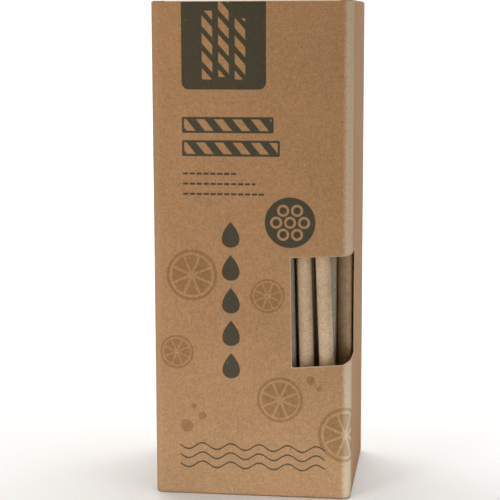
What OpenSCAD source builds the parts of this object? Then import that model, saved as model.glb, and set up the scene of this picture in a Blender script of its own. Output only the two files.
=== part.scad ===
// A tall kraft carton of paper drinking straws.
// The carton is one folded and glued blank, with a tuck-in lid and a window die-cut round a crease.
// The straws stand inside it: two loose layers behind the front wall, then close-packed rows.
// The origin is at the centre of the foot. The front faces -Y and up is +Z.

/* [Carton] */
// Width across the front, outside
carton_w = 81; // [70:1:110]
// Depth from front to back, outside
carton_d = 73.5; // [60:0.5:100]
// Thickness of the board
board = 0.45; // [0.3:0.05:0.6]
// Outside radius of the upright creases
crease_r = 3.5; // [1.5:0.1:4]
// Outside radius of the folds at the foot, the shoulders and the lid
fold_r = 0.9; // [0.7:0.05:1.2]
// Room between the straws and the dust flaps above them
headroom = 2.75; // [1:0.25:10]
// Width of the glue flap inside the left wall
glue_flap_w = 15; // [8:1:22]
// Distance of the glued seam from the crease beside it
seam_inset = 1.2; // [0.8:0.1:3]
// Width of the glued seam
seam_w = 0.35; // [0.2:0.05:0.8]

/* [Bottom] */
// Space from the outer bottom flap's free edge to the back face
outer_flap_gap = 0.8; // [0.4:0.1:3]
// Length of the inner bottom flap, from the back face
inner_flap_len = 55; // [30:1:58]
// Space between the two bottom dust flaps where they meet
dust_flap_gap = 0.6; // [0.2:0.1:4]
// Height of the raw edge at the foot of the upright creases
corner_lift = 0.3; // [0.1:0.1:0.6]

/* [Lid and flaps] */
// Space beside the lid at each end
lid_side_gap = 0.5; // [0.2:0.1:1]
// Uncreased length at each end of the lid's front edge
lid_ear_w = 5; // [3:0.5:10]
// Space between the front wall and the tuck flap
tuck_gap = 0.1; // [0.1:0.05:0.3]
// Length of the tuck flap
tuck_len = 15; // [10:0.5:18]
// Radius of the tuck flap's free corners
tuck_corner_r = 8; // [3:0.5:9]
// Share of the lid's swing that the tuck flap's crease takes back
tuck_flex = 0.2; // [0.1:0.05:0.3]
// Length of the top dust flaps, from the side faces
top_dust_len = 30; // [18:1:32]
// Width of the slanted trim along the top dust flaps
top_dust_trim = 7; // [3:0.5:12]

/* [Window] */
// Width of the window on the front, up to the right-hand face
window_w = 24.1; // [12:0.1:40]
// Length of the window on the side, from the front face
window_side = 16; // [8:0.5:40]
// Height of the window's lower left corner
window_z = 54.6; // [20:0.1:90]
// Height of the window at its left edge
window_h = 45.1; // [20:0.1:80]
// How far the window's top left corner lies left of the lower one
window_lean = 0.6; // [0:0.1:2]
// Rise of the lower edge from the left corner to the crease
window_low_slant = 1.6; // [0:0.1:4]
// Rise of the upper edge from the left corner to the crease
window_high_slant = 1.1; // [0:0.1:4]
// Radius of the window's corners
window_corner_r = 0.8; // [0.3:0.1:3]
// Step up of the lower edge where it rounds the crease
window_rise = 1.9; // [0:0.1:4]
// Step up of the upper edge where it rounds the crease
window_kick = 0.8; // [0:0.1:3]

/* [Straws] */
// Outside diameter of a straw
straw_od = 6; // [5:0.1:8]
// Wall of a straw
straw_wall = 0.4; // [0.25:0.05:0.8]
// Length of a straw
straw_len = 197; // [140:1:240]
// Space between the tuck flap's tip and the front straws
tuck_room = 0.6; // [0.3:0.1:3]
// Space between one loose layer and the next
layer_gap = 0.25; // [0.1:0.05:1]
// Distance of the first front straw from the right-hand face
front_first = 12.2; // [9:0.1:20]
// Least space between the left wall and the front straws
front_left_gap = 1; // [0.5:0.5:8]
// Space between the front straws at half their height
front_gap = 1.7; // [1.7:0.05:3]
// How much closer the third front straw stands to the second
front_step = 0.8; // [0:0.05:0.8]
// How far the ends of the first front straw lean aside
front_shift = 3.96; // [0:0.01:4]
// Distance of the second layer's first straw from the right-hand face
second_first = 10.8; // [7:0.1:20]
// Space between the straws of the second layer
second_gap = 2.15; // [1.2:0.05:3]
// How far the ends of the second layer's straws lean aside
second_shift = 0.75; // [0:0.05:0.75]
// Least space between the close-packed straws
row_gap = 0.04; // [0.02:0.01:0.3]
// Space between the straws and the folds and walls beside them
wall_gap = 0.05; // [0.05:0.05:1]

/* [Hidden] */
$fn = 48;
// A cut runs this far past the faces that it goes through.
past = 1;

floor_z = 3 * board;
shoulder_z = floor_z + straw_len + headroom + board;
carton_h = shoulder_z + board;

flat_w = carton_w - 2 * crease_r;
flat_d = carton_d - 2 * crease_r;
right_x = carton_w / 2 - board;
front_y = -carton_d / 2 + board;
back_y = carton_d / 2 - board;

lid_w = carton_w - 2 * lid_side_gap;
tuck_y = front_y + tuck_gap;
tuck_w = lid_w - 2 * lid_ear_w;
lid_reach = carton_d / 2 - tuck_y;
// The flap leans in far enough for its tip to pass the front wall as the lid swings.
tuck_lean = asin(tuck_len * pow(1 - tuck_flex, 2) / (2 * lid_reach)) + 0.2;

layer_pitch = straw_od + layer_gap;
front_layer_y = tuck_y + board + tuck_len * sin(tuck_lean) + tuck_room + straw_od / 2;
second_layer_y = front_layer_y + layer_pitch;

front_pitch = straw_od + front_gap;
front_first_x = carton_w / 2 - front_first;
// The straws that reach the left end lean less than the eighth one does.
front_left_x = -carton_w / 2 + board + front_left_gap + straw_od / 2 + front_lean_shift(7);
front_count = floor((front_first_x + front_step - front_left_x) / front_pitch) + 1;
second_pitch = straw_od + second_gap;
second_first_x = carton_w / 2 - second_first;
second_left_x = -carton_w / 2 + board + wall_gap + straw_od / 2 + second_shift;
second_count = floor((second_first_x - second_left_x) / second_pitch) + 1;

row_left_x = -carton_w / 2 + 2 * board + wall_gap + straw_od / 2;
row_right_x = carton_w / 2 - fold_r - wall_gap - straw_od / 2;
row_straws = floor((row_right_x - row_left_x) / (straw_od + row_gap) + 0.5);
row_pitch = (row_right_x - row_left_x) / (row_straws - 0.5);
row_step = sqrt(pow(straw_od + row_gap, 2) - pow(row_pitch / 2, 2));
first_row_y = second_layer_y + layer_pitch;
last_row_y = back_y - wall_gap - straw_od / 2;
row_count = floor((last_row_y - first_row_y) / row_step) + 1;

front_names = [for (i = [1 : front_count]) str("front_straw_", i)];
second_names = [for (i = [1 : second_count]) str("second_straw_", i)];
row_names = [for (i = [1 : row_count]) str("straw_row_", i)];

// Each front straw leans less than the one to its right.
function front_lean_shift(i) = front_shift / (1 + 0.4 * i);

// Place of a front straw across the carton, at half its height.
function front_x(i) = front_first_x - i * front_pitch + (i > 1 ? front_step : 0);

// The second layer's straws hardly lean, apart from every fourth one where there is room for it.
function second_lean_shift(i) = second_shift * (i % 4 == 2 && i < second_count - 1 ? 3 : 1);

// Plan of the walls, moved in by a given amount.
module wall_plan(inset) {
    square([flat_w, carton_d - 2 * inset], center = true);
    square([carton_w - 2 * inset, flat_d], center = true);
    for (x = [-flat_w / 2, flat_w / 2])
        for (y = [-flat_d / 2, flat_d / 2])
            translate([x, y]) circle(crease_r - inset);
}

// Section of a fold: a quarter turn of board that starts at the wall and ends level with the flap.
module fold_section() {
    intersection() {
        translate([fold_r, fold_r]) difference() {
            circle(fold_r);
            circle(fold_r - board);
        }
        square(fold_r);
    }
}

// Section of a flap folded in from a wall's foot, with its length counted from the wall's outer face.
module flap_section(length) {
    fold_section();
    translate([fold_r, 0]) square([length - fold_r, board]);
}

// A flap with its fold, standing on the plane z = 0, from the wall whose outer face is the plane x = 0.
module flap(length, width) {
    translate([0, width / 2, 0])
        rotate([90, 0, 0])
            linear_extrude(width) flap_section(length);
}

// Puts a flap at the foot of each side in turn: 0 right, 90 back, 180 left, 270 front.
module at_side(angle, z) {
    face = angle % 180 == 0 ? carton_w / 2 : carton_d / 2;
    rotate([0, 0, angle])
        translate([face, 0, z])
            mirror([1, 0, 0]) children();
}

module bottom_flaps() {
    at_side(270, 0) flap(carton_d - outer_flap_gap, flat_w);
    at_side(90, board) flap(inner_flap_len, flat_w);
    for (angle = [0, 180])
        at_side(angle, 2 * board) flap((carton_w - dust_flap_gap) / 2, flat_d);
}

// A dust flap under the lid, with its long edges trimmed to a slant towards the free end.
module top_dust_flap() {
    root = flat_d / 2;
    tip = root - top_dust_trim;
    intersection() {
        mirror([0, 0, 1]) flap(top_dust_len, flat_d);
        translate([0, 0, -fold_r])
            linear_extrude(2 * fold_r)
                polygon([
                    [0, -root], [2 * fold_r, -root], [top_dust_trim, -tip], [top_dust_len, -tip],
                    [top_dust_len, tip], [top_dust_trim, tip], [2 * fold_r, root], [0, root]
                ]);
    }
}

// Room for the folds: the flat walls stop where their folds start, and the corners keep a raw edge.
module fold_room() {
    below = -past;
    for (side = [[270, fold_r], [90, board + fold_r], [0, 2 * board + fold_r], [180, 2 * board + fold_r]]) {
        width = side[0] % 180 == 0 ? flat_d : flat_w;
        at_side(side[0], below)
            translate([-past, -width / 2, 0]) cube([past + crease_r, width, side[1] - below]);
    }
    for (angle = [0, 180])
        at_side(angle, shoulder_z - fold_r)
            translate([-past, -flat_d / 2, 0]) cube([past + crease_r, flat_d, fold_r + past]);
    for (x = [0, 1])
        mirror([x, 0, 0])
            translate([0, carton_d / 2 + past, 0])
                rotate([90, 0, 0])
                    linear_extrude(carton_d + 2 * past)
                        polygon([
                            [flat_w / 2, below], [flat_w / 2, corner_lift],
                            [carton_w / 2, 2 * board + fold_r], [carton_w / 2 + past, 2 * board + fold_r],
                            [carton_w / 2 + past, below]
                        ]);
}

// The window's outline on the front, which steps up where it rounds the crease.
module window_front_outline() {
    left = carton_w / 2 - window_w;
    top = window_z + window_h;
    low_fold = window_z + window_low_slant;
    high_fold = top + window_high_slant;
    r = window_corner_r;
    polygon([
        [left + r, window_z], [flat_w / 2, low_fold], [carton_w / 2, low_fold + window_rise],
        [carton_w / 2 + past, low_fold + window_rise], [carton_w / 2 + past, high_fold + window_kick],
        [carton_w / 2, high_fold + window_kick], [flat_w / 2 + crease_r / 2, high_fold],
        [left - window_lean + r, top]
    ]);
    hull() {
        translate([left + r, window_z + r]) circle(r);
        translate([left - window_lean + r, top - r]) circle(r);
    }
}

// The window's outline on the side, from the crease to its rounded rear corners.
module window_side_outline() {
    start = -flat_d / 2;
    length = window_side - crease_r;
    low = window_z + window_low_slant + window_rise;
    high = window_z + window_h + window_high_slant + window_kick;
    r = window_corner_r;
    translate([start, low]) square([length - r, high - low]);
    translate([start, low + r]) square([length, high - low - 2 * r]);
    for (z = [low + r, high - r])
        translate([start + length - r, z]) circle(r);
}

module window_cut() {
    translate([0, -flat_d / 2, 0])
        rotate([90, 0, 0])
            linear_extrude(crease_r + past) window_front_outline();
    translate([right_x - past, 0, 0])
        rotate([90, 0, 90])
            linear_extrude(board + 2 * past) window_side_outline();
}

// The open line where the left wall's end is glued over the flap of the back wall.
module seam_cut() {
    translate([-carton_w / 2 - past, flat_d / 2 - seam_inset, -past])
        cube([board + past, seam_w, shoulder_z + 2 * past]);
}

// The glue flap lies inside the left wall, with tapered ends.
module glue_flap() {
    back = flat_d / 2;
    front = back - glue_flap_w;
    taper = glue_flap_w / 3;
    low = floor_z + fold_r;
    high = shoulder_z - board - fold_r;
    translate([-carton_w / 2 + board, 0, 0])
        rotate([90, 0, 90])
            linear_extrude(board)
                polygon([[back, low], [back, high], [front, high - taper], [front, low + taper]]);
}

module carton() {
    color("peru") {
        difference() {
            linear_extrude(shoulder_z) difference() {
                wall_plan(0);
                wall_plan(board);
            }
            fold_room();
            window_cut();
            seam_cut();
        }
        glue_flap();
        bottom_flaps();
        for (angle = [0, 180])
            at_side(angle, shoulder_z) top_dust_flap();
    }
}

// Plan of the lid, rounded at the front like the upright creases and straight at its hinge.
module lid_plan() {
    translate([-lid_w / 2, -flat_d / 2]) square([lid_w, (carton_d + flat_d) / 2]);
    translate([-flat_w / 2, tuck_y]) square([flat_w, crease_r]);
    for (x = [-flat_w / 2, flat_w / 2])
        translate([x, -flat_d / 2]) circle(crease_r - lid_side_gap);
}

// The lid, with the rounded crease that the tuck flap hangs from.
module lid() {
    color("tan") {
        difference() {
            translate([0, 0, shoulder_z]) linear_extrude(board) lid_plan();
            translate([-tuck_w / 2, front_y - past, shoulder_z - past])
                cube([tuck_w, past + tuck_gap + fold_r, board + 2 * past]);
            translate([-lid_w / 2 - past, carton_d / 2 - board, shoulder_z])
                rotate([90, 0, 90])
                    linear_extrude(lid_w + 2 * past) difference() {
                        square(board + past);
                        circle(board);
                    }
        }
        translate([-tuck_w / 2, tuck_y, carton_h])
            mirror([0, 0, 1])
                rotate([90, 0, 90])
                    linear_extrude(tuck_w) fold_section();
    }
}

// Outline of the tuck flap, hanging down from its crease.
module tuck_outline() {
    r = tuck_corner_r;
    side = tuck_len - r;
    intersection() {
        translate([-tuck_w / 2, -tuck_len]) square([tuck_w, tuck_len]);
        union() {
            translate([-tuck_w / 2, -side]) square([tuck_w, tuck_len]);
            translate([-tuck_w / 2 + r, -tuck_len]) square([tuck_w - 2 * r, tuck_len]);
            for (x = [-tuck_w / 2 + r, tuck_w / 2 - r])
                translate([x, -side]) circle(r);
        }
    }
}

module tuck_flap() {
    color("burlywood")
        translate([0, tuck_y + board, carton_h - fold_r])
            rotate([tuck_lean, 0, 0])
                rotate([90, 0, 0])
                    linear_extrude(board) tuck_outline();
}

// A straw, upright on the plane z = 0.
module straw() {
    difference() {
        cylinder(d = straw_od, h = straw_len);
        translate([0, 0, -past]) cylinder(d = straw_od - 2 * straw_wall, h = straw_len + 2 * past);
    }
}

// A straw that stands on its rim, with its foot moved right and its top moved left.
module leaning_straw(x, y, shift) {
    lean = asin(2 * shift / straw_len);
    translate([x + shift, y, floor_z + straw_od / 2 * sin(lean)])
        rotate([0, -lean, 0]) straw();
}

module front_straw(i) {
    color("wheat")
        leaning_straw(front_x(i), front_layer_y, front_lean_shift(i));
}

module second_straw(i) {
    color("moccasin")
        leaning_straw(second_first_x - i * second_pitch, second_layer_y, second_lean_shift(i));
}

// Every other row is moved half a pitch, so that the straws nest.
module straw_row(i) {
    offset_x = i % 2 == 0 ? row_pitch / 2 : 0;
    color("navajowhite")
        for (k = [0 : row_straws - 1])
            translate([row_left_x + offset_x + k * row_pitch, first_row_y + i * row_step, floor_z]) straw();
}

carton();
lid();
tuck_flap();
for (i = [0 : front_count - 1])
    front_straw(i);
for (i = [0 : second_count - 1])
    second_straw(i);
for (i = [0 : row_count - 1])
    straw_row(i);
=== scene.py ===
# A tall kraft carton of paper drinking straws, dressed for the studio.
# The folded board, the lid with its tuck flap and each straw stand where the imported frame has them.
import math
import random

import bmesh
import bpy
from mathutils import Matrix, Vector


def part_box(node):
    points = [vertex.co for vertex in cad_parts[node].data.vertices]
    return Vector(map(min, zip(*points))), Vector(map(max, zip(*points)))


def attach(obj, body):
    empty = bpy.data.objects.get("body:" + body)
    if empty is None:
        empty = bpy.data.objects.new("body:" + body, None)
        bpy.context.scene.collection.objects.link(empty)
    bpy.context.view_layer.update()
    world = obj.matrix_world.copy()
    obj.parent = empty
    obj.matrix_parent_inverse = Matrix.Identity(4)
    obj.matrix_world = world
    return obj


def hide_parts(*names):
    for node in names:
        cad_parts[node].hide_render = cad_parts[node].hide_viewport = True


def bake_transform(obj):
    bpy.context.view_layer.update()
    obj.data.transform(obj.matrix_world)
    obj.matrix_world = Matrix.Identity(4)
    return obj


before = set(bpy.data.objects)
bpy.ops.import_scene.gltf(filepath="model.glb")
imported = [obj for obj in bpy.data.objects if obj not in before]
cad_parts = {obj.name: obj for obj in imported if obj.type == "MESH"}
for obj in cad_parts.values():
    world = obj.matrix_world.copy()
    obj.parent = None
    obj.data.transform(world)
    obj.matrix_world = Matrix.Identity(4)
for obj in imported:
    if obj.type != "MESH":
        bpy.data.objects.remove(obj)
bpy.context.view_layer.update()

MM = 0.001
QUARTER = math.pi / 2
HAIR = 0.01 * MM
CUT_SLACK = 1e-7

# Sizes of the carton, from the frame where it gives them
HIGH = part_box("carton")[1]
HALF_W = HIGH.x
HALF_D = HIGH.y
SHOULDER = HIGH.z
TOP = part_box("lid")[1].z
BOARD = TOP - SHOULDER
CREASE_R = 3.5 * MM
FOLD_R = 0.9 * MM
FOOT_R = 0.5 * MM
FLAT_W = HALF_W - CREASE_R
FLAT_D = HALF_D - CREASE_R
CREASE_STEPS = 10
FOLD_STEPS = 6
CUT_SOFT = 0.05 * MM
CUT_ANGLE = math.radians(50)
SHARP_ANGLE = math.radians(35)

# Flaps, counted from the outer face that each one hangs on
OUTER_FLAP = 2 * HALF_D - 0.8 * MM
INNER_FLAP = 55 * MM
DUST_FLAP = HALF_W - 0.3 * MM
TOP_DUST_FLAP = 30 * MM
TOP_DUST_TRIM = 7 * MM

# The raw edges at the foot of the upright creases: how far they stand up, and their slant
FOOT_CORNER_LIFT = 0.12 * MM
FOOT_CORNER_RISE = 0.35 * MM

# The glued seam at the back of the left wall
SEAM_Y = FLAT_D - 1.2 * MM
SEAM_W = 0.35 * MM
GLUE_FLAP = 15 * MM
GLUE_SLANT = GLUE_FLAP / 3

# The window that is cut round the right-hand front crease, with slightly slanted edges
WINDOW_LEFT = HALF_W - 24.1 * MM
WINDOW_LEAN = 0.6 * MM
WINDOW_BACK = -HALF_D + 16 * MM
WINDOW_LOW = 54.6 * MM
WINDOW_HIGH = WINDOW_LOW + 45.1 * MM
WINDOW_LOW_FOLD = WINDOW_LOW + 1.6 * MM
WINDOW_HIGH_FOLD = WINDOW_HIGH + 1.1 * MM
WINDOW_LOW_SIDE = WINDOW_LOW_FOLD + 1.9 * MM
WINDOW_HIGH_SIDE = WINDOW_HIGH_FOLD + 0.8 * MM
WINDOW_CORNER = 0.8 * MM
CORNER_STEPS = 5
WINDOW_MARGIN = 3 * MM
WINDOW_LEFT_TOP = WINDOW_LEFT - WINDOW_LEAN
WINDOW_KICK = FLAT_W + CREASE_R / 2
LOW_EDGE = ((WINDOW_LEFT, WINDOW_LOW), (FLAT_W, WINDOW_LOW_FOLD), (HALF_W, WINDOW_LOW_SIDE))
HIGH_EDGE = ((WINDOW_LEFT_TOP, WINDOW_HIGH), (WINDOW_KICK, WINDOW_HIGH_FOLD), (HALF_W, WINDOW_HIGH_SIDE))

# The lid and its tuck flap
LID_HALF_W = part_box("lid")[1].x
LID_CORNER = CREASE_R - (HALF_W - LID_HALF_W)
LID_CORNER_STEPS = 6
TUCK_Y = -HALF_D + BOARD + 0.1 * MM
TUCK_HALF_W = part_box("tuck_flap")[1].x
TUCK_LENGTH = 15 * MM
TUCK_CORNER = 8 * MM
TUCK_CORNER_STEPS = 8
TUCK_LEAN = math.atan2(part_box("tuck_flap")[1].y - (TUCK_Y + BOARD), TUCK_LENGTH)
TUCK_HANG = (Matrix.Translation((0, TUCK_Y + BOARD, TOP - FOLD_R))
             @ Matrix.Rotation(TUCK_LEAN, 4, "X"))
TUCK_STRIP = 2 * MM
TUCK_STRIP_STEPS = 5
LID_STRIP = 1 * MM
LID_STRIP_REACH = 1.4 * MM
STRIP_BOARD = 0.9 * BOARD

# How far the straws press each panel out at its middle
FRONT_BOW = 0.25 * MM
SIDE_BOW = 0.3 * MM
BACK_BOW = 0.35 * MM
LID_CROWN = 0.2 * MM
PANEL_GRID = 12 * MM
PANEL_ROWS = round(SHOULDER / PANEL_GRID)

# Straws. Their paper tones differ at random, from -1 to 1; the straws that lie in shade behind the window
# get a painted shade beyond that range, greyer or browner and darker
STRAW_R = 3 * MM
STRAW_WALL = 0.4 * MM
STRAW_SIDES = 36
STRAW_LIP = 0.06 * MM
STRAWS_IN_ROW = 12
STRAW_SHARP = math.radians(40)
STRAW_SEED = 150
PAINTED_GREY_SHADE = -3.5
PAINTED_BROWN_SHADE = 3.5
SHADE_GREYED_STRAWS = ("second_straw", "front_straw_3")
SHADE_BROWNED_STRAW = ("straw_row_1", STRAWS_IN_ROW - 1)


# Mesh helpers

def near(value, target, slack=0.02 * MM):
    return abs(value - target) < slack


def parts_of(faces):
    """The faces with their edges and vertices, for an operator."""
    edges = {e for f in faces for e in f.edges}
    verts = {v for f in faces for v in f.verts}
    return list(faces) + list(edges) + list(verts)


def cut(bm, faces, point, normal):
    """Cuts the faces along a plane."""
    bmesh.ops.bisect_plane(bm, geom=parts_of(faces), plane_co=point, plane_no=normal, dist=CUT_SLACK)


def drop(bm, faces):
    bmesh.ops.delete(bm, geom=list(faces), context="FACES")


def trim(bm, find, point, away):
    """Cuts the faces that it finds along a plane, and drops those on the far side."""
    point = Vector(point)
    away = Vector(away)
    cut(bm, find(), point, away)
    drop(bm, [f for f in find() if (f.calc_center_median() - point).dot(away) > 0])


def open_edges(bm, test):
    """The boundary edges whose both ends pass a test."""
    return [e for e in bm.edges if e.is_boundary and all(test(v.co) for v in e.verts)]


def fold_over(bm, edges, centre, axis, steps=FOLD_STEPS):
    """Bends the sheet on from these edges, a quarter turn round an axis, and gives the last edges."""
    verts = list({v for e in edges for v in e.verts})
    made = bmesh.ops.spin(bm, geom=verts + edges, cent=centre, axis=axis, dvec=(0, 0, 0),
                          angle=QUARTER, steps=steps, use_duplicate=False)
    return [g for g in made["geom_last"] if isinstance(g, bmesh.types.BMEdge)]


def extend(bm, edges, move, squeeze=(1, 1, 1)):
    """Draws the sheet on from these edges by a move, and squeezes the new edge towards the middle."""
    made = bmesh.ops.extrude_edge_only(bm, edges=edges)["geom"]
    verts = [g for g in made if isinstance(g, bmesh.types.BMVert)]
    bmesh.ops.translate(bm, vec=move, verts=verts)
    bmesh.ops.scale(bm, vec=squeeze, verts=verts)
    return [g for g in made if isinstance(g, bmesh.types.BMEdge) and all(v in verts for v in g.verts)]


def add_object(name, bm, materials):
    """Makes an object of the mesh, with smooth faces."""
    mesh = bpy.data.meshes.new(name)
    for face in bm.faces:
        face.smooth = True
    bm.to_mesh(mesh)
    bm.free()
    for material in materials:
        mesh.materials.append(material)
    piece = bpy.data.objects.new(name, mesh)
    bpy.context.scene.collection.objects.link(piece)
    return piece


def give_thickness(piece, thickness=BOARD):
    """Turns a sheet into board: the inside and the cut edge take the next two materials."""
    wall = piece.modifiers.new("board", "SOLIDIFY")
    wall.thickness = thickness
    wall.offset = -1
    wall.use_even_offset = True
    wall.material_offset = 1
    wall.material_offset_rim = 2
    soft = piece.modifiers.new("cut edge", "BEVEL")
    soft.width = CUT_SOFT
    soft.segments = 1
    soft.limit_method = "ANGLE"
    soft.angle_limit = CUT_ANGLE
    soft.use_clamp_overlap = True
    bpy.context.view_layer.update()
    made = bpy.data.meshes.new_from_object(piece.evaluated_get(bpy.context.evaluated_depsgraph_get()))
    piece.modifiers.clear()
    piece.data = made
    made.set_sharp_from_angle(angle=SHARP_ANGLE)


# The folded carton

def upright_tube():
    """The four walls as one open sheet with rounded upright creases."""
    bm = bmesh.new()
    bmesh.ops.create_cube(bm, size=1)
    bmesh.ops.scale(bm, vec=(2 * HALF_W, 2 * HALF_D, SHOULDER), verts=bm.verts)
    bmesh.ops.translate(bm, vec=(0, 0, SHOULDER / 2), verts=bm.verts)
    bmesh.ops.delete(bm, geom=[f for f in bm.faces if abs(f.normal.z) > 0.5], context="FACES_ONLY")
    uprights = [e for e in bm.edges if not near(e.verts[0].co.z, e.verts[1].co.z)]
    bmesh.ops.bevel(bm, geom=uprights, offset=CREASE_R, offset_type="OFFSET", affect="EDGES",
                    segments=CREASE_STEPS, profile=0.5, material=-1)
    return bm


def front_faces(bm):
    return [f for f in bm.faces if all(near(v.co.y, -HALF_D) for v in f.verts)]


def back_faces(bm):
    return [f for f in bm.faces if all(near(v.co.y, HALF_D) for v in f.verts)]


def side_faces(bm, sign):
    return [f for f in bm.faces if all(near(v.co.x, sign * HALF_W) for v in f.verts)]


def crease_faces(bm, sign, ahead=None):
    """The faces of the upright creases on one side, all or only the front or the back one."""
    found = []
    for face in bm.faces:
        middle = face.calc_center_median()
        round_corner = sign * middle.x > FLAT_W + HAIR and abs(middle.y) > FLAT_D + HAIR
        if round_corner and (ahead is None or (middle.y < 0) == ahead):
            found.append(face)
    return found


def trim_foot(bm):
    """Ends each wall where its fold starts, and slants the raw edges of the corners."""
    trim(bm, lambda: front_faces(bm), (0, 0, FOOT_R), (0, 0, -1))
    trim(bm, lambda: back_faces(bm), (0, 0, BOARD + FOOT_R), (0, 0, -1))
    for sign in (-1, 1):
        trim(bm, lambda: side_faces(bm, sign), (0, 0, 2 * BOARD + FOOT_R), (0, 0, -1))
        trim(bm, lambda: crease_faces(bm, sign), (sign * FLAT_W, 0, FOOT_CORNER_LIFT),
             (sign * FOOT_CORNER_RISE, 0, -CREASE_R))


def trim_head(bm):
    """Ends the side walls and the back wall below their top folds."""
    for sign in (-1, 1):
        trim(bm, lambda: side_faces(bm, sign), (0, 0, SHOULDER - FOLD_R), (0, 0, 1))
    trim(bm, lambda: back_faces(bm), (0, 0, SHOULDER - LID_STRIP), (0, 0, 1))


def height_on(line, x):
    """The height of a bent line at a place, from its points."""
    for (x0, z0), (x1, z1) in zip(line, line[1:]):
        if x <= x1:
            return z0 + (z1 - z0) * (x - x0) / (x1 - x0)
    return line[-1][1]


def corner_faces(bm, corner, along, rise, outward):
    """The faces in the small square at a window corner. Along and rise are the corner's two edges."""
    found = []
    for face in bm.faces:
        place = face.calc_center_median() - corner
        reach = (place.dot(along), place.dot(rise))
        if near(place.dot(outward), 0) and all(0 < r < WINDOW_CORNER for r in reach):
            found.append(face)
    return found


def round_window_corner(bm, corner, along, rise, outward):
    """Opens the small square at a window corner up to an arc."""
    centre = corner + (along + rise) * WINDOW_CORNER
    sides = []
    for i in range(CORNER_STEPS):
        turn = QUARTER * (i + 0.5) / CORNER_STEPS
        away = -(along * math.cos(turn) + rise * math.sin(turn)).normalized()
        sides.append((centre + away * WINDOW_CORNER, away))
    for point, away in sides:
        cut(bm, corner_faces(bm, corner, along, rise, outward), point, away)
    drop(bm, [f for f in corner_faces(bm, corner, along, rise, outward)
              if all((f.calc_center_median() - point).dot(away) < 0 for point, away in sides)])


def window_corners():
    """The window's corners: the place, the two edges that leave it, and the way its wall faces."""
    front, side, up = Vector((0, -1, 0)), Vector((1, 0, 0)), Vector((0, 0, 1))
    left = Vector((-WINDOW_LEAN, 0, WINDOW_HIGH - WINDOW_LOW)).normalized()
    low = Vector((FLAT_W - WINDOW_LEFT, 0, WINDOW_LOW_FOLD - WINDOW_LOW)).normalized()
    high = Vector((WINDOW_KICK - WINDOW_LEFT_TOP, 0, WINDOW_HIGH_FOLD - WINDOW_HIGH)).normalized()
    return ((Vector((WINDOW_LEFT, -HALF_D, WINDOW_LOW)), low, left, front),
            (Vector((WINDOW_LEFT_TOP, -HALF_D, WINDOW_HIGH)), high, -left, front),
            (Vector((HALF_W, WINDOW_BACK, WINDOW_LOW_SIDE)), front, up, side),
            (Vector((HALF_W, WINDOW_BACK, WINDOW_HIGH_SIDE)), front, -up, side))


def faces_ahead(bm, low_x, high_x=HALF_W):
    """The faces of the front and of its right-hand crease between two places across."""
    faces = front_faces(bm) + crease_faces(bm, 1, ahead=True)
    return [f for f in faces if low_x < f.calc_center_median().x < high_x]


def window_faces(bm):
    """The faces that fill the window, once its edges are cut."""
    found = []
    for face in faces_ahead(bm, WINDOW_LEFT_TOP) + side_faces(bm, 1):
        middle = face.calc_center_median()
        lean = WINDOW_LEAN * (middle.z - WINDOW_LOW) / (WINDOW_HIGH - WINDOW_LOW)
        tall = height_on(LOW_EDGE, middle.x) < middle.z < height_on(HIGH_EDGE, middle.x)
        if tall and middle.x > WINDOW_LEFT - lean and middle.y < WINDOW_BACK:
            found.append(face)
    return found


def cut_window(bm):
    """Cuts the window out of the front, the crease and the right-hand side."""
    corners = window_corners()
    start, _, left, _ = corners[0]
    cut(bm, front_faces(bm), (WINDOW_LEFT_TOP - WINDOW_MARGIN, 0, 0), (1, 0, 0))
    cut(bm, faces_ahead(bm, FLAT_W), (WINDOW_KICK, 0, 0), (1, 0, 0))
    cut(bm, faces_ahead(bm, WINDOW_LEFT_TOP - WINDOW_MARGIN), start, (left.z, 0, -left.x))
    for line in (LOW_EDGE, HIGH_EDGE):
        for (x0, z0), (x1, z1) in zip(line, line[1:]):
            cut(bm, faces_ahead(bm, x0, x1), (x0, 0, z0), (z0 - z1, 0, x1 - x0))
    cut(bm, side_faces(bm, 1), (0, WINDOW_BACK, 0), (0, 1, 0))
    for level in (WINDOW_LOW_SIDE, WINDOW_HIGH_SIDE):
        cut(bm, side_faces(bm, 1), (0, 0, level), (0, 0, 1))
    for corner, along, rise, outward in corners:
        centre = corner + (along + rise) * WINDOW_CORNER
        for normal in (along, rise):
            level = [f for f in window_faces(bm)
                     if near((f.calc_center_median() - corner).dot(outward), 0)]
            cut(bm, level, centre, normal)
    kept = {f for c in corners for f in corner_faces(bm, *c)}
    drop(bm, [f for f in window_faces(bm) if f not in kept])
    for corner in corners:
        round_window_corner(bm, *corner)


def rule_columns(bm):
    """Cuts the sheet into columns both ways, so that it can bow."""
    columns = round(2 * FLAT_W / PANEL_GRID)
    for i in range(1, columns):
        share = 2 * i / columns - 1
        cut(bm, list(bm.faces), (FLAT_W * share, 0, 0), (1, 0, 0))
        cut(bm, list(bm.faces), (0, FLAT_D * share, 0), (0, 1, 0))


def rule_panels(bm):
    """Cuts the walls into a grid, so that the panels can bow."""
    for i in range(1, PANEL_ROWS):
        cut(bm, list(bm.faces), (0, 0, SHOULDER * i / PANEL_ROWS), (0, 0, 1))
    rule_columns(bm)


def bow_panels(bm):
    """Presses each wall out a little between its creases, and the glue flap with its wall."""
    for vert in bm.verts:
        place = vert.co
        if not 2 * FOLD_R < place.z < SHOULDER - 2 * FOLD_R:
            continue
        height = 1 - (2 * place.z / SHOULDER - 1) ** 2
        across_x = max(0, 1 - (place.x / FLAT_W) ** 2)
        across_y = max(0, 1 - (place.y / FLAT_D) ** 2)
        if near(place.y, -HALF_D):
            place.y -= FRONT_BOW * across_x * height
        elif near(place.y, HALF_D):
            place.y += BACK_BOW * across_x * height
        elif abs(place.x) > HALF_W - 1.5 * BOARD:
            place.x += math.copysign(SIDE_BOW * across_y * height, place.x)


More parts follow.
